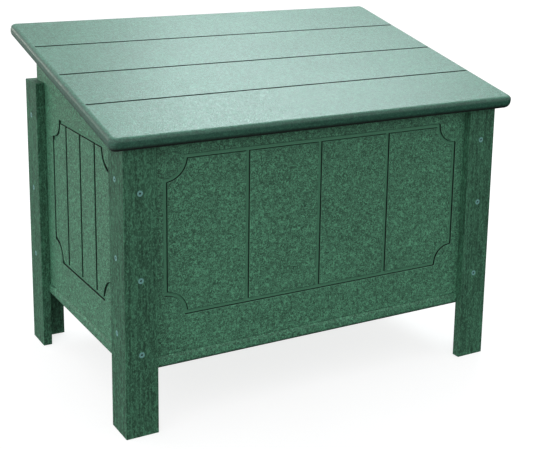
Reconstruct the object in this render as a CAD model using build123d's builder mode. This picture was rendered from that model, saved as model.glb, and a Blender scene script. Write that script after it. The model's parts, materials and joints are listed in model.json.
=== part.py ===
"""Free-standing outdoor storage bin: four L-section legs, routed sheet walls and one sloping hinged lid.

Millimetres, +Z up, front towards -Y. The origin is on the ground under the centre of the whole object.
"""
from build123d import *
from math import atan2, cos, degrees, radians, sin, tan
import os

os.makedirs("parts", exist_ok=True)

# ---- driving dimensions ----
body_width = 1139           # over the legs
body_depth = 740            # over the legs
leg_face_front = 88         # width of a leg's face seen from the front or the back
leg_face_side = 94          # width of a leg's face seen from the side
leg_thick = 26              # thickness of both flanges of a leg
rear_leg_height = 797
sheet = 25.4                # front and side walls
back_thick = 38
floor_low = 160             # underside of the floor above the ground
floor_thick = 35
floor_lip = 4.3             # how far the floor's rounded edge stands out past the walls
floor_edge_top = 12         # upper radius of that edge
floor_edge_bottom = 13      # lower radius of that edge

lid_slope = 13.17           # degrees, falling towards the front
lid_width = 1219
lid_length = 800            # along the slope
lid_thick = 39
nose_top = 12               # upper radius of the lid's rounded edge
nose_bottom = 20            # lower radius of the lid's rounded edge
lid_corner = 18             # plan radius of the lid's corners
lid_reach = 32              # the lid's front edge ahead of the front legs
lid_height = 786.5          # lid's top surface above the fronts of the legs
rim_gap = 3                 # space between the lid's underside and the rim of the walls

groove_width = 11           # routed lines on the walls
groove_depth = 6
groove_taper = 8            # degrees that a routed wall leans
lip_width = 13.5            # rounded-over mouth of a routed line
lip_depth = 1
lip_taper = 56
frame_half_front = 448      # half width of the routed frame on the front
front_dividers = (-217, 0, 217)
frame_half_side = 216       # half width of the routed frame on each side
side_dividers = (-108, 0, 108)
side_frame_y = 366          # centre of the side frame behind the front of the legs
frame_bottom = 297
frame_top_front = 704
frame_top_side = 707
scoop = 56                  # size of the frame's scooped-out corners
shoulder = 7                # straight step at each end of a scoop
lid_grooves = (204, 399.5, 603)
lid_groove_width = 6.5
lid_groove_depth = 4
lid_groove_taper = 8

pivot_off = 5.5             # hinge axis from the back wall and from the lid's underside
barrel_radius = 5
pin_radius = 3
pin_play = 0.05
leaf_thick = 2.5
leaf_start = 6              # where a leaf's plate begins, from the hinge axis
leaf_reach = 42
hinge_length = 100
knuckle_pitch = 20
knuckle_gap = 0.6
hinge_places = (-400, 0, 400)

hinge_screws = ((-36, 16), (0, 32), (36, 16))   # along the hinge, and out from its axis

batten_places = (-330, 0, 330)
batten_width = 64
batten_thick = 19
stop_thick = 8
stop_height = 36
stop_span = (62, 338)       # inner and outer ends of each stop strip
stop_drop = 10              # top of the stop strips below the hinge axis
stop_screw_xs = (90, 200, 310)
batten_screw_shares = (0.08, 0.36, 0.64, 0.92)
batten_clear_front = 25     # space between a batten's end and the front wall
batten_clear_back = 60      # space between a batten's end and the hinge axis
bumper_radius = 9
bumper_play = 0.6           # space left under the closed lid's bumpers
bumper_inset_front = 42     # from the outer face of a front leg
bumper_inset_back = 60      # from the back wall

# Screw heights on each leg, face by face: hand drilled, so no two legs are quite alike.
face_x = {"left": -526, "right": 523}
front_face_heights = {"left": (633, 412, 219), "right": (656, 472, 256)}
front_leg_side_heights = (661, 461, 265)
rear_leg_side_heights = (697, 479, 276)
rear_face_heights = (640, 420, 225)
front_leg_side_depth = 54   # behind the front of the legs
rear_leg_side_depth = 696
floor_screw_xs = (-400, -200, 0, 200, 400)
floor_screw_depths = (180, 369, 558)
leg_screw_size = (7.5, 3, 46)       # head radius, shank radius, length
hinge_screw_size = (4.2, 2, 24)
batten_screw_size = (5, 2.2, 42)
floor_screw_size = (6, 2.5, 65)
stop_screw_size = (4.2, 2, 26)
leg_arris = 2               # radius of the legs' long edges

# ---- worked out from them ----
run = cos(radians(lid_slope))
rise = sin(radians(lid_slope))
foremost = nose_top * (run + rise) - nose_top
rearmost = (lid_length - nose_bottom) * run + (lid_thick - nose_bottom) * rise + nose_bottom
lid_edge_y = -(foremost + rearmost) / 2
front_y = lid_edge_y + lid_reach
back_y = front_y + body_depth
lid_edge_z = lid_height - lid_reach * tan(radians(lid_slope))
wall_front = front_y + leg_thick
wall_back = back_y - leg_thick
wall_side = body_width / 2 - leg_thick
floor_top = floor_low + floor_thick
inner_front = wall_front + sheet
inner_back = wall_back - back_thick
lid_plane = Plane(origin=(0, lid_edge_y, lid_edge_z), x_dir=(1, 0, 0), z_dir=(0, -rise, run))
lid_up = Axis(lid_plane.origin, lid_plane.z_dir)
rim_plane = lid_plane.offset(-lid_thick - rim_gap)
pivot_n = -lid_thick - pivot_off
pivot_y = wall_back + pivot_off
pivot_s = (pivot_y - lid_edge_y + pivot_n * rise) / run
pivot_z = lid_edge_z + pivot_s * rise + pivot_n * run


def save(part, name):
    part.label = name
    export_step(part, "parts/" + name + ".step")


def along_lid(y, drop):
    """Distance up the slope of a point at depth y, lying drop below the lid's top surface."""
    return (y - lid_edge_y - drop * rise) / run


# ---- fasteners ----
def screw_blank(head, shank, length):
    """A countersunk screw without its socket, head up at the origin, also used to cut its own hole."""
    rim = 0.8
    with BuildPart() as blank:
        with BuildSketch(Plane.XZ):
            with BuildLine():
                Polyline((0, 0), (head, 0), (head, -rim), (shank, shank - head - rim),
                         (shank, shank - length), (0, -length), (0, 0))
            make_face()
        revolve(axis=Axis.Z)
    return blank.part


def screw(head, shank, length):
    with BuildPart() as fastener:
        add(screw_blank(head, shank, length))
        with BuildSketch():
            RegularPolygon(radius=shank, side_count=6)
        extrude(amount=-head / 2.4, mode=Mode.SUBTRACT)
    return fastener.part


def screw_group(places, size, name):
    with BuildPart() as group:
        with Locations(*places):
            add(screw(*size))
    save(group.part, name)


def facing(x, y, z, outward):
    """A plane at a point whose normal is a screw head's outward direction."""
    across = (0, 1, 0) if outward[1] == 0 else (1, 0, 0)
    return Plane(origin=(x, y, z), x_dir=across, z_dir=outward)


sides = {"left": -1, "right": 1}


def leg_screw_places(side, end):
    outer = sides[side] * body_width / 2
    sideways = (sides[side], 0, 0)
    if end == "front":
        face = [facing(face_x[side], front_y, z, (0, -1, 0)) for z in front_face_heights[side]]
        y = front_y + front_leg_side_depth
        return face + [facing(outer, y, z, sideways) for z in front_leg_side_heights]
    face = [facing(face_x[side], back_y, z, (0, 1, 0)) for z in rear_face_heights]
    y = front_y + rear_leg_side_depth
    return face + [facing(outer, y, z, sideways) for z in rear_leg_side_heights]


all_leg_screws = []
for side in sides:
    for end in ("front", "rear"):
        all_leg_screws += leg_screw_places(side, end)
        screw_group(leg_screw_places(side, end), leg_screw_size, end + "_" + side + "_leg_screws")

# ---- legs ----
for side in sides:
    for end in ("front", "rear"):
        across = sides[side]
        inward = 1 if end == "front" else -1
        corner_x = across * body_width / 2
        corner_y = front_y if end == "front" else back_y
        tall = rear_leg_height if end == "rear" else lid_height
        with BuildPart() as leg:
            with BuildSketch():
                with BuildLine():
                    Polyline((corner_x, corner_y),
                             (corner_x - across * leg_face_front, corner_y),
                             (corner_x - across * leg_face_front, corner_y + inward * leg_thick),
                             (corner_x - across * leg_thick, corner_y + inward * leg_thick),
                             (corner_x - across * leg_thick, corner_y + inward * leg_face_side),
                             (corner_x, corner_y + inward * leg_face_side),
                             (corner_x, corner_y))
                make_face()
            extrude(amount=tall)
            inner_corner = Vector(corner_x - across * leg_thick, corner_y + inward * leg_thick, tall / 2)
            upright = leg.edges().filter_by(Axis.Z)
            upright = upright.filter_by(lambda edge: (edge.center() - inner_corner).length > 1)
            fillet(upright, radius=leg_arris)
            if end == "front":
                split(bisect_by=rim_plane, keep=Keep.BOTTOM)
            with Locations(*leg_screw_places(side, end)):
                add(screw_blank(*leg_screw_size), mode=Mode.SUBTRACT)
        save(leg.part, end + "_" + side + "_leg")

# ---- floor ----
floor_screw_places = []
for x in floor_screw_xs:
    floor_screw_places.append(facing(x, wall_front + sheet / 2, floor_low, (0, 0, -1)))
    floor_screw_places.append(facing(x, wall_back - back_thick / 2, floor_low, (0, 0, -1)))
for side in sides:
    for depth in floor_screw_depths:
        x = sides[side] * (wall_side - sheet / 2)
        floor_screw_places.append(facing(x, front_y + depth, floor_low, (0, 0, -1)))
screw_group(floor_screw_places, floor_screw_size, "floor_screws")

with BuildPart() as floor_panel:
    middle_y = (wall_front + wall_back) / 2
    with Locations((0, middle_y, floor_low + floor_thick / 2)):
        Box(2 * (wall_side + floor_lip), wall_back - wall_front + 2 * floor_lip, floor_thick)
    rims = floor_panel.edges().group_by(Axis.Z)
    fillet(rims[-1], radius=floor_edge_top)
    fillet(rims[0], radius=floor_edge_bottom)
    for across in sides.values():
        for corner_y, inward in ((front_y, 1), (back_y, -1)):
            corner_x = across * body_width / 2
            with Locations((corner_x, corner_y, floor_low)):
                Box(2 * leg_face_front + 1, 2 * leg_thick, 4 * floor_thick, mode=Mode.SUBTRACT)
                Box(2 * leg_thick, 2 * leg_face_side + 1, 4 * floor_thick, mode=Mode.SUBTRACT)
    with Locations(*floor_screw_places):
        add(screw_blank(*floor_screw_size), mode=Mode.SUBTRACT)
save(floor_panel.part, "floor_panel")


# ---- routed lines on the walls ----
def routed(face, outline, depth, taper):
    """The material that a tapered cutter takes out of a face along a slot-shaped outline."""
    with BuildPart() as cutter:
        with BuildSketch(face):
            add(outline)
        extrude(amount=-depth, taper=taper)
    return cutter.part


def straight_slot(start, end, width):
    along = Vector(*end) - Vector(*start)
    middle = Vector(*start) + along / 2
    with BuildSketch() as slot:
        with Locations(middle):
            SlotCenterToCenter(along.length, width, rotation=degrees(atan2(along.Y, along.X)))
    return slot.sketch


def curved_slot(start, halfway, end, width):
    with BuildLine() as path:
        ThreePointArc(start, halfway, end)
    with BuildSketch() as slot:
        SlotArc(path.edges()[0], width)
    return slot.sketch


def frame_slots(half, top, dividers, width):
    """Slots for a rectangular frame with scooped corners and upright dividers, centred on x = 0."""
    slots = []
    for x in (-half, half):
        slots.append(straight_slot((x, frame_bottom + scoop), (x, top - scoop), width))
    for z in (frame_bottom, top):
        slots.append(straight_slot((-half + scoop, z), (half - scoop, z), width))
    for x in dividers:
        slots.append(straight_slot((x, frame_bottom), (x, top), width))
    turn = (scoop ** 2 - shoulder ** 2) ** 0.5
    bulge = scoop * 0.5 ** 0.5
    for across in (-1, 1):
        edge_x = across * half
        scoop_x = edge_x - across * scoop
        for z, up in ((frame_bottom, 1), (top, -1)):
            scoop_z = z + up * scoop
            on_side = (edge_x - across * shoulder, z + up * turn)
            on_flat = (edge_x - across * turn, z + up * shoulder)
            halfway = (edge_x - across * bulge, z + up * bulge)
            slots.append(straight_slot((edge_x, scoop_z), (on_side[0], scoop_z), width))
            slots.append(straight_slot((scoop_x, z), (scoop_x, on_flat[1]), width))
            slots.append(curved_slot(on_side, halfway, on_flat, width))
    return slots


def routed_frame(face, half, top, dividers):
    """Cutters for a frame's shallow wide mouth and for the steep groove within it."""
    mouths = frame_slots(half, top, dividers, lip_width)
    grooves = frame_slots(half, top, dividers, groove_width)
    cutters = [routed(face, slot, lip_depth, lip_taper) for slot in mouths]
    return cutters + [routed(face, slot, groove_depth, groove_taper) for slot in grooves]


# ---- walls ----
wall_top = lid_height + body_depth * tan(radians(lid_slope))
wall_tall = wall_top - floor_top


def wall_block(low_x, high_x, low_y, high_y):
    """A wall's sheet standing on the floor, trimmed along its top to the slope of the lid."""
    with Locations(((low_x + high_x) / 2, (low_y + high_y) / 2, floor_top + wall_tall / 2)):
        Box(high_x - low_x, high_y - low_y, wall_tall)
    split(bisect_by=rim_plane, keep=Keep.BOTTOM)


def sink_screws():
    """Cuts the holes for the screws that come through the legs and up through the floor."""
    with Locations(*all_leg_screws):
        add(screw_blank(*leg_screw_size), mode=Mode.SUBTRACT)
    with Locations(*floor_screw_places):
        add(screw_blank(*floor_screw_size), mode=Mode.SUBTRACT)


with BuildPart() as front_panel:
    wall_block(-wall_side, wall_side, wall_front, inner_front)
    front_face = Plane(origin=(0, wall_front, 0), x_dir=(1, 0, 0), z_dir=(0, -1, 0))
    for cutter in routed_frame(front_face, frame_half_front, frame_top_front, front_dividers):
        add(cutter, mode=Mode.SUBTRACT)
    sink_screws()
save(front_panel.part, "front_panel")

for side in sides:
    across = sides[side]
    with BuildPart() as side_panel:
        low_x, high_x = sorted((across * wall_side, across * (wall_side - sheet)))
        wall_block(low_x, high_x, inner_front, inner_back)
        side_face = Plane(origin=(across * wall_side, front_y + side_frame_y, 0),
                          x_dir=(0, across, 0), z_dir=(across, 0, 0))
        for cutter in routed_frame(side_face, frame_half_side, frame_top_side, side_dividers):
            add(cutter, mode=Mode.SUBTRACT)
        sink_screws()
    save(side_panel.part, side + "_side_panel")

# ---- stop strips and the hinges' own screws ----
stop_low = pivot_z - stop_drop - stop_height
stop_screw_places = []
for across in sides.values():
    for x in stop_screw_xs:
        y, z = wall_back + stop_thick, stop_low + stop_height / 2
        stop_screw_places.append(facing(across * x, y, z, (0, 1, 0)))
screw_group(stop_screw_places, stop_screw_size, "stop_screws")

body_leaf_places = []
lid_leaf_places = []
for x in hinge_places:
    for off, down in hinge_screws:
        body_leaf_places.append(facing(x + off, wall_back + leaf_thick, pivot_z - down, (0, 1, 0)))
        leaf_low = lid_plane.offset(pivot_n + pivot_off - leaf_thick)
        seat = leaf_low.from_local_coords((x + off, pivot_s - down, 0))
        lid_leaf_places.append(Plane(origin=seat, x_dir=(1, 0, 0), z_dir=-leaf_low.z_dir))
screw_group(body_leaf_places, hinge_screw_size, "hinge_body_screws")
screw_group(lid_leaf_places, hinge_screw_size, "hinge_lid_screws")

for side in sides:
    low_x, high_x = sorted(sides[side] * x for x in stop_span)
    with BuildPart() as stop:
        with Locations(((low_x + high_x) / 2, wall_back + stop_thick / 2, stop_low + stop_height / 2)):
            Box(high_x - low_x, stop_thick, stop_height)
        chamfer(stop.faces().sort_by(Axis.Y)[-1].edges(), length=1)
        with Locations(*stop_screw_places):
            add(screw_blank(*stop_screw_size), mode=Mode.SUBTRACT)
    save(stop.part, side + "_lid_stop")

with BuildPart() as back_panel:
    wall_block(-wall_side, wall_side, inner_back, wall_back)
    sink_screws()
    with Locations(*stop_screw_places):
        add(screw_blank(*stop_screw_size), mode=Mode.SUBTRACT)
    with Locations(*body_leaf_places):
        add(screw_blank(*hinge_screw_size), mode=Mode.SUBTRACT)
save(back_panel.part, "back_panel")


# ---- hinges ----
body_knuckles = (-2, 0, 2)
lid_knuckles = (-1, 1)


def hinge_leaf(x, frame, knuckles, screw_places):
    """One leaf of a butt hinge. The frame is on the axis, y towards the plate and z out of it."""
    plate_low = -pivot_off
    with BuildPart() as leaf:
        with BuildSketch(frame.offset(plate_low)):
            with Locations((0, (leaf_start + leaf_reach) / 2)):
                RectangleRounded(hinge_length, leaf_reach - leaf_start, 2.5)
        extrude(amount=leaf_thick)
        for place in knuckles:
            off = place * knuckle_pitch
            long = knuckle_pitch - knuckle_gap
            with BuildSketch(frame.offset(plate_low)):
                with Locations((off, (leaf_start + 3) / 2)):
                    Rectangle(long, leaf_start + 3)
            extrude(amount=leaf_thick)
            end = Plane(origin=frame.from_local_coords((off - long / 2, 0, 0)), z_dir=frame.x_dir)
            with BuildSketch(end):
                Circle(barrel_radius)
            extrude(amount=long)
        bore = Plane(origin=frame.from_local_coords((-hinge_length, 0, 0)), z_dir=frame.x_dir)
        with BuildSketch(bore):
            Circle(pin_radius + pin_play)
        extrude(amount=2 * hinge_length, mode=Mode.SUBTRACT)
        with Locations(*screw_places):
            add(screw_blank(*hinge_screw_size), mode=Mode.SUBTRACT)
    return leaf.part


hinge_names = ("left", "middle", "right")
for x, name in zip(hinge_places, hinge_names):
    body_frame = Plane(origin=(x, pivot_y, pivot_z), x_dir=(1, 0, 0), z_dir=(0, 1, 0))
    lid_frame = Plane(origin=(x, pivot_y, pivot_z), x_dir=(1, 0, 0), z_dir=(0, rise, -run))
    save(hinge_leaf(x, body_frame, body_knuckles, body_leaf_places), name + "_hinge_body_leaf")
    save(hinge_leaf(x, lid_frame, lid_knuckles, lid_leaf_places), name + "_hinge_lid_leaf")
    with BuildPart() as pin:
        with BuildSketch(Plane(origin=(x - hinge_length / 2 - 0.5, pivot_y, pivot_z), z_dir=(1, 0, 0))):
            Circle(pin_radius)
        extrude(amount=hinge_length + 1)
        for end in (x - hinge_length / 2 - 2, x + hinge_length / 2 + 0.5):
            with BuildSketch(Plane(origin=(end, pivot_y, pivot_z), z_dir=(1, 0, 0))):
                Circle(barrel_radius - 0.6)
            extrude(amount=1.5)
    save(pin.part, name + "_hinge_pin")

# ---- lid ----
batten_start = along_lid(inner_front + batten_clear_front, lid_thick)
batten_end = pivot_s - batten_clear_back
batten_low = lid_plane.offset(-lid_thick - batten_thick)
batten_screw_places = []
for x in batten_places:
    for share in batten_screw_shares:
        s = batten_start + share * (batten_end - batten_start)
        seat = batten_low.from_local_coords((x, s, 0))
        batten_screw_places.append(Plane(origin=seat, x_dir=(1, 0, 0), z_dir=-batten_low.z_dir))
screw_group(batten_screw_places, batten_screw_size, "lid_batten_screws")

with BuildPart() as lid_panel:
    with BuildSketch(lid_plane):
        with Locations((0, lid_length / 2)):
            RectangleRounded(lid_width, lid_length, lid_corner)
    extrude(amount=-lid_thick)
    fillet(lid_panel.faces().sort_by(lid_up)[-1].edges(), radius=nose_top)
    fillet(lid_panel.faces().sort_by(lid_up)[0].edges(), radius=nose_bottom)
    flat_half = lid_width / 2 - nose_top - lid_groove_width / 2
    for s in lid_grooves:
        slot = straight_slot((-flat_half, s), (flat_half, s), lid_groove_width)
        add(routed(lid_plane, slot, lid_groove_depth, lid_groove_taper), mode=Mode.SUBTRACT)
    with Locations(*lid_leaf_places):
        add(screw_blank(*hinge_screw_size), mode=Mode.SUBTRACT)
    with Locations(*batten_screw_places):
        add(screw_blank(*batten_screw_size), mode=Mode.SUBTRACT)
save(lid_panel.part, "lid_panel")

for x, name in zip(batten_places, hinge_names):
    with BuildPart() as batten:
        with BuildSketch(batten_low):
            with Locations((x, (batten_start + batten_end) / 2)):
                Rectangle(batten_width, batten_end - batten_start)
        extrude(amount=batten_thick)
        chamfer(batten.faces().sort_by(lid_up)[0].edges(), length=2)
        with Locations(*batten_screw_places):
            add(screw_blank(*batten_screw_size), mode=Mode.SUBTRACT)
    save(batten.part, name + "_lid_batten")

bumper_thick = rim_gap - bumper_play
bumper_places = []
for across in sides.values():
    front_x = across * (body_width / 2 - bumper_inset_front)
    back_x = across * (wall_side - sheet / 2)
    bumper_places.append((front_x, along_lid(front_y + leg_thick / 2, lid_thick)))
    bumper_places.append((back_x, along_lid(inner_back - bumper_inset_back, lid_thick)))
with BuildPart() as lid_bumpers:
    with BuildSketch(lid_plane.offset(-lid_thick)):
        with Locations(*bumper_places):
            Circle(bumper_radius)
    extrude(amount=-bumper_thick)
save(lid_bumpers.part, "lid_bumpers")
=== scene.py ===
"""Outdoor storage bin of recycled plastic sheet: finishes, floor, light and camera over the CAD frame."""
import bpy
import bmesh
import json
from math import cos, radians, sin
from mathutils import Matrix, Vector


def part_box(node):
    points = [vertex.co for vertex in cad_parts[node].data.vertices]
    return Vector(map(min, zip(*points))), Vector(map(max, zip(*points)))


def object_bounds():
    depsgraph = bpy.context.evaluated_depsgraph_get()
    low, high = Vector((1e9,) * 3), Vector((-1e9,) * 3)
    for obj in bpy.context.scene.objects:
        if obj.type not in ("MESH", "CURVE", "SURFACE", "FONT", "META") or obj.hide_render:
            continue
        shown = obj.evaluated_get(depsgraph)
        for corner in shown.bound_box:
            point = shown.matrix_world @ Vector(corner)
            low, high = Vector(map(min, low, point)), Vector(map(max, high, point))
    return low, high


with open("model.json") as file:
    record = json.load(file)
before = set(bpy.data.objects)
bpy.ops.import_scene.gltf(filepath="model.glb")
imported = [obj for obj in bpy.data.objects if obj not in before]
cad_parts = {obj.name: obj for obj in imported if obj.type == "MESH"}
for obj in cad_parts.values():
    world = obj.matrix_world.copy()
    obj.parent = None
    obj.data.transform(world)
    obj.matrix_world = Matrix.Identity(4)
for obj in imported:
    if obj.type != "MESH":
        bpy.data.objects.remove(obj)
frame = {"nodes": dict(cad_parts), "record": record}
cad_low, cad_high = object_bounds()
nodes = frame["nodes"]
millimetre = 0.001


# ---- small helpers for building node trees ----
range_names = ("From Min", "From Max", "To Min", "To Max")


class Finish:
    """One procedural material: a Principled surface fed by patterns laid out in metres on the object."""

    def __init__(self, name):
        self.material = bpy.data.materials.new(name)
        self.material.use_nodes = True
        self.tree = self.material.node_tree
        self.surface = self.tree.nodes["Principled BSDF"]
        coordinates = self.node("ShaderNodeTexCoord")
        self.place = coordinates.outputs["Object"]
        self.normal = coordinates.outputs["Normal"]

    def node(self, kind, **settings):
        made = self.tree.nodes.new(kind)
        for key, value in settings.items():
            setattr(made, key, value)
        return made

    def put(self, value, socket):
        """Links a socket to another, or sets its number or colour."""
        if isinstance(value, bpy.types.NodeSocket):
            self.tree.links.new(value, socket)
        else:
            socket.default_value = value

    def set(self, **values):
        """Feeds the surface's own sockets, named with underscores for spaces."""
        for name, value in values.items():
            self.put(value, self.surface.inputs[name.replace("_", " ")])

    def stretched(self, scale):
        """Where each point lies for a pattern that is drawn out along one axis."""
        mapping = self.node("ShaderNodeMapping")
        mapping.inputs["Scale"].default_value = scale
        self.put(self.place, mapping.inputs["Vector"])
        return mapping.outputs["Vector"]

    def noise(self, scale, detail=2.0, rough=0.5, distortion=0.0, where=None):
        made = self.node("ShaderNodeTexNoise")
        made.inputs["Scale"].default_value = scale
        made.inputs["Detail"].default_value = detail
        made.inputs["Roughness"].default_value = rough
        made.inputs["Distortion"].default_value = distortion
        self.put(where or self.place, made.inputs["Vector"])
        return made.outputs["Fac"]

    def remap(self, value, low, high, to_low=0.0, to_high=1.0):
        made = self.node("ShaderNodeMapRange")
        for name, number in zip(range_names, (low, high, to_low, to_high)):
            made.inputs[name].default_value = number
        self.put(value, made.inputs["Value"])
        return made.outputs["Result"]

    def maths(self, operation, first, second):
        made = self.node("ShaderNodeMath", operation=operation)
        self.put(first, made.inputs[0])
        self.put(second, made.inputs[1])
        return made.outputs["Value"]

    def along(self, direction):
        """Distance of each point along a direction."""
        made = self.node("ShaderNodeVectorMath", operation="DOT_PRODUCT")
        self.put(self.place, made.inputs[0])
        made.inputs[1].default_value = direction
        return made.outputs["Value"]

    def facing(self, direction):
        """How squarely the modelled surface looks along a direction: 1 square on, 0 edge on."""
        made = self.node("ShaderNodeVectorMath", operation="DOT_PRODUCT")
        self.put(self.normal, made.inputs[0])
        made.inputs[1].default_value = direction
        return made.outputs["Value"]

    def blend(self, share, first, second):
        made = self.node("ShaderNodeMix", data_type="RGBA")
        self.put(share, made.inputs["Factor"])
        self.put(first, made.inputs["A"])
        self.put(second, made.inputs["B"])
        return made.outputs["Result"]

    def bump(self, height, strength, distance, below=None):
        made = self.node("ShaderNodeBump")
        made.inputs["Strength"].default_value = strength
        made.inputs["Distance"].default_value = distance
        self.put(height, made.inputs["Height"])
        if below:
            self.put(below, made.inputs["Normal"])
        return made.outputs["Normal"]

    def hollow_shade(self, reach):
        """Painted shade mask: 1 down in a socket or a corner, 0 out in the open."""
        made = self.node("ShaderNodeAmbientOcclusion", samples=6)
        made.inputs["Distance"].default_value = reach
        return self.remap(made.outputs["AO"], 0.75, 0.45)

    def arris_mask(self, radius, reach):
        """1 along sharp arrises, falling to 0 on the flats."""
        rounded = self.node("ShaderNodeBevel", samples=6)
        rounded.inputs["Radius"].default_value = radius
        flat = self.node("ShaderNodeNewGeometry").outputs["Normal"]
        meet = self.node("ShaderNodeVectorMath", operation="DOT_PRODUCT")
        self.put(rounded.outputs["Normal"], meet.inputs[0])
        self.put(flat, meet.inputs[1])
        return self.remap(meet.outputs["Value"], 1.0, reach, 0, 1)


def shade(colour, amount):
    return tuple(channel * amount for channel in colour[:3]) + (1,)


# ---- recycled plastic ----
# How many waves of each pattern there are to a metre.
cloud_scale = 5
blotch_scale = 165
speck_scale = 420
streak_scale = 190
arris_patch_scale = 45
sheen_scale = 60
warp_scale = 2.2

mouth_depth = 0.2 * millimetre      # where a routed line starts below its face
line_depth = 7 * millimetre         # below the deepest routed line
limit_fade = 2 * millimetre         # how softly the routed area ends at its limits
arris_radius = 3 * millimetre
skin_height = 0.8 * millimetre
warp_height = 4 * millimetre


def tinted(finish, body, share, amount, colour):
    """The colour so far, moved part of the way towards another."""
    return finish.blend(finish.maths("MULTIPLY", share, amount), body, colour)


def dark_and_pale(finish, body, pattern, dark, dark_colour, pale, pale_colour):
    """The colour so far, darker in the pattern's low places and paler in its high ones."""
    body = tinted(finish, body, finish.remap(pattern, 0.5, 0), dark, dark_colour)
    return tinted(finish, body, finish.remap(pattern, 0.5, 1), pale, pale_colour)


def routed_part(finish, face):
    """1 inside the lines routed into a face. A face is its outward direction, its level and its limits."""
    outward, level, limits = face
    deep = finish.maths("SUBTRACT", level, finish.along(outward))
    inside = finish.remap(deep, mouth_depth, 3 * mouth_depth)
    past = finish.remap(deep, line_depth, line_depth + 0.5 * millimetre, 1, 0)
    inside = finish.maths("MULTIPLY", inside, past)
    for direction, low, high in limits:
        where = finish.along(direction)
        after_low = finish.remap(where, low - limit_fade, low)
        before_high = finish.remap(where, high, high + limit_fade, 1, 0)
        inside = finish.maths("MULTIPLY", inside, after_low)
        inside = finish.maths("MULTIPLY", inside, before_high)
    return inside


def overhung(finish):
    """1 on rounded edges that look down at the ground: the mask for the painted shade under them."""
    downward = finish.facing((0, 0, -1))
    not_flat = finish.remap(downward, 0.92, 0.96, 1, 0)
    return finish.maths("MULTIPLY", finish.remap(downward, 0.3, 0.7), not_flat)


def round_edge(finish, outward):
    """1 on a sheet's rounded edges, 0 on both of its faces."""
    square = finish.facing(outward)
    not_underneath = finish.remap(square, -0.98, -0.9)
    return finish.maths("MULTIPLY", finish.remap(square, 0.95, 0.7), not_underneath)


def recycled_plastic(name, colour, mottle, pebble, rough, gloss, grain=(1, 1, 1), streaks=0.0,
                     face=None, routed_painted_tone=1.6, rim_shade=0.0):
    """Recycled plastic: cloudy, mottled pigment, a pebbled skin, pale flecks, paler edges (part wear, part
    painted highlight), painted shade under down-facing edges, and painted light and shade in its routed
    lines.
    """
    finish = Finish(name)
    lie = finish.stretched(grain)
    cloud = finish.remap(finish.noise(cloud_scale, 3), 0.35, 0.65)
    body = finish.blend(cloud, shade(colour, 0.93), shade(colour, 1.07))
    blotch = finish.remap(finish.noise(blotch_scale, 2, 0.6, 1.6, lie), 0.36, 0.64)
    body = dark_and_pale(finish, body, blotch, mottle * 0.8, shade(colour, 0.15), mottle, shade(colour, 2.7))
    speck = finish.remap(finish.noise(speck_scale, 2, 0.6, 0, lie), 0.56, 0.72)
    body = tinted(finish, body, speck, 0.4, shade(colour, 2.4))
    if streaks:
        upright_lie = finish.stretched((1, 1, 0.045))
        streak = finish.remap(finish.noise(streak_scale, 3, 0.65, 0, upright_lie), 0.36, 0.64)
        body = dark_and_pale(finish, body, streak, streaks, shade(colour, 0.15), streaks, shade(colour, 2.2))
    # Paler patches along the arrises: part wear, part painted highlight on the arrises.
    rubbed_and_highlit = finish.remap(finish.noise(arris_patch_scale, 4), 0.38, 0.66)
    rubbed_and_highlit = finish.maths("MULTIPLY", finish.arris_mask(arris_radius, 0.86), rubbed_and_highlit)
    body = tinted(finish, body, rubbed_and_highlit, 0.35, shade(colour, 2.2))
    # Painted shade on the rounded edges that face down.
    painted_shade = overhung(finish)
    if face:
        outward = face[0]
        routed = routed_part(finish, face)
        # The routed lines' steep walls join that painted shade; part of their darkness is the darker milled
        # surface.
        steep = finish.maths("MULTIPLY", routed, finish.remap(finish.facing(outward), 0.85, 0.7))
        painted_shade = finish.maths("MAXIMUM", painted_shade, steep)
        # Painted tone over the routed lines: paler in the front and side panels' lines (painted light on the
        # groove floors), much darker in the lid's lines (painted shade).
        body = tinted(finish, body, routed, 1.0, shade(colour, routed_painted_tone))
        # Painted shade on the lid's rounded edges.
        body = tinted(finish, body, round_edge(finish, outward), rim_shade, shade(colour, 0.1))
    # Painted shade: near-black on down-facing edges and on the routed lines' steep walls.
    body = tinted(finish, body, painted_shade, 0.97, shade(colour, 0.02))
    roughness = finish.remap(finish.noise(sheen_scale, 4), 0.3, 0.7, *rough)
    roughness = finish.maths("MAXIMUM", roughness, finish.maths("MULTIPLY", painted_shade, 0.85))
    warp = finish.bump(finish.noise(warp_scale, 1), 0.25, warp_height)
    skin_grain = finish.maths("ADD", blotch, finish.maths("MULTIPLY", finish.noise(speck_scale, 2), 0.5))
    finish.set(Base_Color=body, Roughness=roughness, Specular_IOR_Level=gloss,
               Normal=finish.bump(skin_grain, pebble, skin_height, warp))
    return finish.material


# ---- metal and rubber ----
def coated_screw():
    """Green-coated screw heads with painted shade in the socket, paler where driver and weather have worn
    them.
    """
    finish = Finish("coated_screw")
    worn = finish.remap(finish.noise(900, 3), 0.4, 0.62)
    coat = finish.blend(worn, (0.10, 0.28, 0.25, 1), (0.22, 0.46, 0.42, 1))
    socket_painted_shade = (0.01, 0.025, 0.018, 1)
    # Painted shade: the coat turns near-black down in the socket.
    finish.set(Base_Color=finish.blend(finish.hollow_shade(4 * millimetre), coat, socket_painted_shade),
               Roughness=finish.remap(finish.noise(500), 0.3, 0.7, 0.4, 0.6),
               Normal=finish.bump(finish.noise(1200, 2), 0.2, 0.4 * millimetre))
    return finish.material


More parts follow.
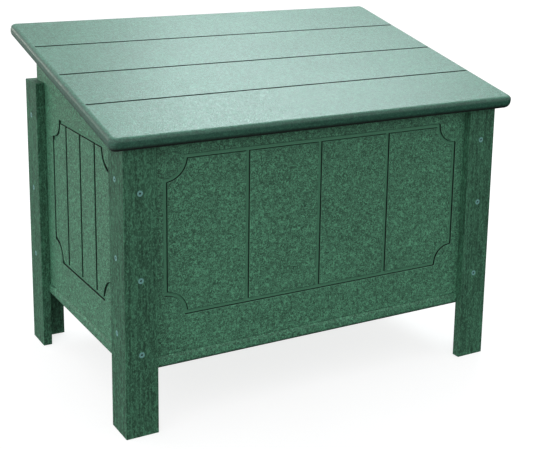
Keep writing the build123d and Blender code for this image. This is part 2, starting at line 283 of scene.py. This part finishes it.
def brushed_stainless():
    """Hinges and their screws, brushed along the hinge line and slightly tarnished."""
    finish = Finish("stainless")
    streak = finish.noise(900, 3, 0.6, 0, finish.stretched((0.05, 1, 1)))
    tarnish = finish.remap(finish.noise(40, 3), 0.35, 0.7)
    steel = finish.blend(tarnish, (0.52, 0.53, 0.53, 1), (0.68, 0.69, 0.69, 1))
    finish.set(Base_Color=steel, Metallic=1.0,
               Roughness=finish.remap(streak, 0.3, 0.7, 0.26, 0.44),
               Normal=finish.bump(streak, 0.15, 0.3 * millimetre))
    return finish.material


def black_rubber():
    """The lid's bumpers, with pale dust on them."""
    finish = Finish("rubber")
    dust = finish.remap(finish.noise(160, 3), 0.45, 0.7)
    rubber = finish.blend(dust, (0.018, 0.018, 0.018, 1), (0.05, 0.05, 0.047, 1))
    finish.set(Base_Color=rubber,
               Roughness=finish.remap(finish.noise(300), 0.3, 0.7, 0.6, 0.8),
               Normal=finish.bump(finish.noise(900), 0.2, 0.4 * millimetre))
    return finish.material


# ---- the faces with routed lines ----
x_axis, y_axis, z_axis = Vector((1, 0, 0)), Vector((0, 1, 0)), Vector((0, 0, 1))
wall_inset = 20 * millimetre        # no routed line comes this near to a wall's end
wall_low_margin = 60 * millimetre
routed_top = 720 * millimetre       # above the highest routed line on a wall
nose = 12.5 * millimetre            # just past the radius of the lid's upper edge


def wall_face(node, outward, across):
    """A wall's outer face, limited to the part below its top edge and inside its ends."""
    low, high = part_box(node)
    level = max(low.dot(outward), high.dot(outward))
    ends = sorted((low.dot(across), high.dot(across)))
    upright = (z_axis, low.z + wall_low_margin, routed_top)
    return outward, level, (upright, (across, ends[0] + wall_inset, ends[1] - wall_inset))


def lid_face():
    """The lid's sloping top, inside its rounded edge."""
    mesh = nodes["lid_panel"].data
    upward = (polygon for polygon in mesh.polygons if polygon.normal.z > 0.5)
    top = max(upward, key=lambda polygon: polygon.area)
    low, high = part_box("lid_panel")
    level = top.normal.dot(mesh.vertices[top.vertices[0]].co)
    sideways = (x_axis, low.x + nose, high.x - nose)
    lengthways = (y_axis, low.y + 2 * nose, high.y - 2 * nose)
    return top.normal.copy(), level, (sideways, lengthways)


green = (0.056, 0.180, 0.104)
# The lid's green is tinted bluer as the painted colour of its cool sheen.
lid_green_cool_sheen = (0.056, 0.180, 0.122)
skin = {"mottle": 0.8, "pebble": 0.8, "rough": (0.44, 0.58), "gloss": 0.45}
# The lid: painted shade in its routed lines and on its rounded edges.
smooth = {"mottle": 0.4, "pebble": 0.3, "rough": (0.29, 0.33), "gloss": 0.5,
          "routed_painted_tone": 0.15, "rim_shade": 0.45}
lumber = {"mottle": 0.65, "pebble": 0.6, "rough": (0.55, 0.7), "gloss": 0.28,
          "grain": (1, 1, 0.5), "streaks": 0.3}

front_routing = wall_face("front_panel", -y_axis, x_axis)
left_routing = wall_face("left_side_panel", -x_axis, y_axis)
right_routing = wall_face("right_side_panel", x_axis, y_axis)
own_finish = {
    "front_panel": recycled_plastic("front_plastic", green, face=front_routing, **skin),
    "left_side_panel": recycled_plastic("left_plastic", green, face=left_routing, **skin),
    "right_side_panel": recycled_plastic("right_plastic", green, face=right_routing, **skin),
    "lid_panel": recycled_plastic("lid_plastic", lid_green_cool_sheen, face=lid_face(), **smooth),
}
finishes = {
    "sheet_plastic": recycled_plastic("sheet_plastic", green, **skin),
    "leg_plastic": recycled_plastic("leg_plastic", shade(green, 0.66), **lumber),
    "lid_plastic": recycled_plastic("batten_plastic", green, **skin),
    "coated_screw": coated_screw(),
    "stainless": brushed_stainless(),
    "rubber": black_rubber(),
}
for part in frame["record"]["subparts"]:
    mesh = nodes[part["node"]].data
    mesh.materials.clear()
    mesh.materials.append(own_finish.get(part["node"], finishes[part["material_slot"]]))


# ---- floor ----
def pale_floor():
    """A nearly white floor with a faint glow, so that the bin's shadow on it stays soft and pale."""
    finish = Finish("pale_floor")
    tone = finish.remap(finish.noise(1.5, 3), 0.3, 0.7)
    paint = finish.blend(tone, (0.32, 0.32, 0.32, 1), (0.35, 0.35, 0.35, 1))
    finish.set(Base_Color=paint, Roughness=0.9, Specular_IOR_Level=0.0,
               Emission_Color=(1, 1, 1, 1), Emission_Strength=0.78)
    return finish.material


floor_half = 60.0
floor_mesh = bpy.data.meshes.new("floor")
grid = bmesh.new()
bmesh.ops.create_grid(grid, x_segments=1, y_segments=1, size=floor_half)
grid.to_mesh(floor_mesh)
grid.free()
floor = bpy.data.objects.new("floor", floor_mesh)
floor_mesh.materials.append(pale_floor())
bpy.context.scene.collection.objects.link(floor)
# Its glow is for the eye only: the bin's own light comes from the sky and the lamps.
floor.visible_diffuse = False
floor.visible_glossy = False


# ---- light ----
sky_colour = (0.98, 0.985, 1.0, 1)
cool_white = (0.84, 0.97, 1.0)
warm_white = (1.0, 0.95, 0.84)
horizon_band = (-0.3, 0.2)          # heights of a direction between which ground turns to sky


def soft_sky(below, above, lean):
    """A pale sky over darker ground: its level below and above the horizon, and its gain along each axis."""
    world = bpy.data.worlds.new("studio")
    world.use_nodes = True
    tree = world.node_tree
    place = tree.nodes.new("ShaderNodeTexCoord").outputs["Generated"]
    parts = tree.nodes.new("ShaderNodeSeparateXYZ")
    tree.links.new(place, parts.inputs[0])
    horizon = tree.nodes.new("ShaderNodeMapRange")
    horizon.interpolation_type = "SMOOTHSTEP"
    for name, number in zip(range_names, (*horizon_band, below, above)):
        horizon.inputs[name].default_value = number
    tree.links.new(parts.outputs["Z"], horizon.inputs["Value"])
    slope = tree.nodes.new("ShaderNodeVectorMath")
    slope.operation = "DOT_PRODUCT"
    slope.inputs[1].default_value = lean
    tree.links.new(place, slope.inputs[0])
    total = tree.nodes.new("ShaderNodeMath")
    tree.links.new(slope.outputs["Value"], total.inputs[0])
    tree.links.new(horizon.outputs["Result"], total.inputs[1])
    tree.links.new(total.outputs["Value"], tree.nodes["Background"].inputs["Strength"])
    tree.nodes["Background"].inputs["Color"].default_value = sky_colour
    bpy.context.scene.world = world


def softbox(name, azimuth, elevation, distance, size, power, colour):
    """A rectangular lamp aimed at the bin, unseen itself. Azimuth 0 is in front and 90 to the right."""
    centre = (cad_low + cad_high) / 2
    lamp = bpy.data.lights.new(name, "AREA")
    lamp.shape = "RECTANGLE"
    lamp.size, lamp.size_y = size
    lamp.energy = power
    lamp.color = colour
    turn, lift = radians(azimuth), radians(elevation)
    out = Vector((sin(turn) * cos(lift), -cos(turn) * cos(lift), sin(lift)))
    held = bpy.data.objects.new(name, lamp)
    facing_bin = out.to_track_quat("Z", "Y").to_matrix().to_4x4()
    held.matrix_world = Matrix.Translation(centre + out * distance) @ facing_bin
    held.visible_camera = False
    bpy.context.scene.collection.objects.link(held)


soft_sky(0.20, 0.95, (-0.32, 0.0, 0.0))
softbox("back_sky", 138, 47, 4.0, (2.2, 1.1), 62, cool_white)
softbox("left_strip", -156, 9, 4.0, (1.8, 0.5), 9, warm_white)

# ---- camera ----
# To the left and in front, looking right and slightly down, with the view shifted down to the bin.
camera_place = (-1.5070, -2.6899, 1.3590)
heading, dip, roll = radians(29.657), radians(12.29), radians(0.771)
camera_data = bpy.data.cameras.new("camera")
camera = bpy.data.objects.new("camera", camera_data)
bpy.context.scene.collection.objects.link(camera)
camera_data.sensor_width = 36
camera_data.lens = 73.69
camera_data.shift_y = -0.1923
forward = Vector((sin(heading) * cos(dip), cos(heading) * cos(dip), -sin(dip)))
level = Vector((cos(heading), -sin(heading), 0))
upright = level.cross(forward)
right = cos(roll) * level + sin(roll) * upright
upward = cos(roll) * upright - sin(roll) * level
turned = Matrix((right, upward, -forward)).transposed().to_4x4()
camera.matrix_world = Matrix.Translation(camera_place) @ turned
camera_data.clip_end = 200
bpy.context.scene.camera = camera
bpy.context.scene.view_settings.view_transform = "Standard"
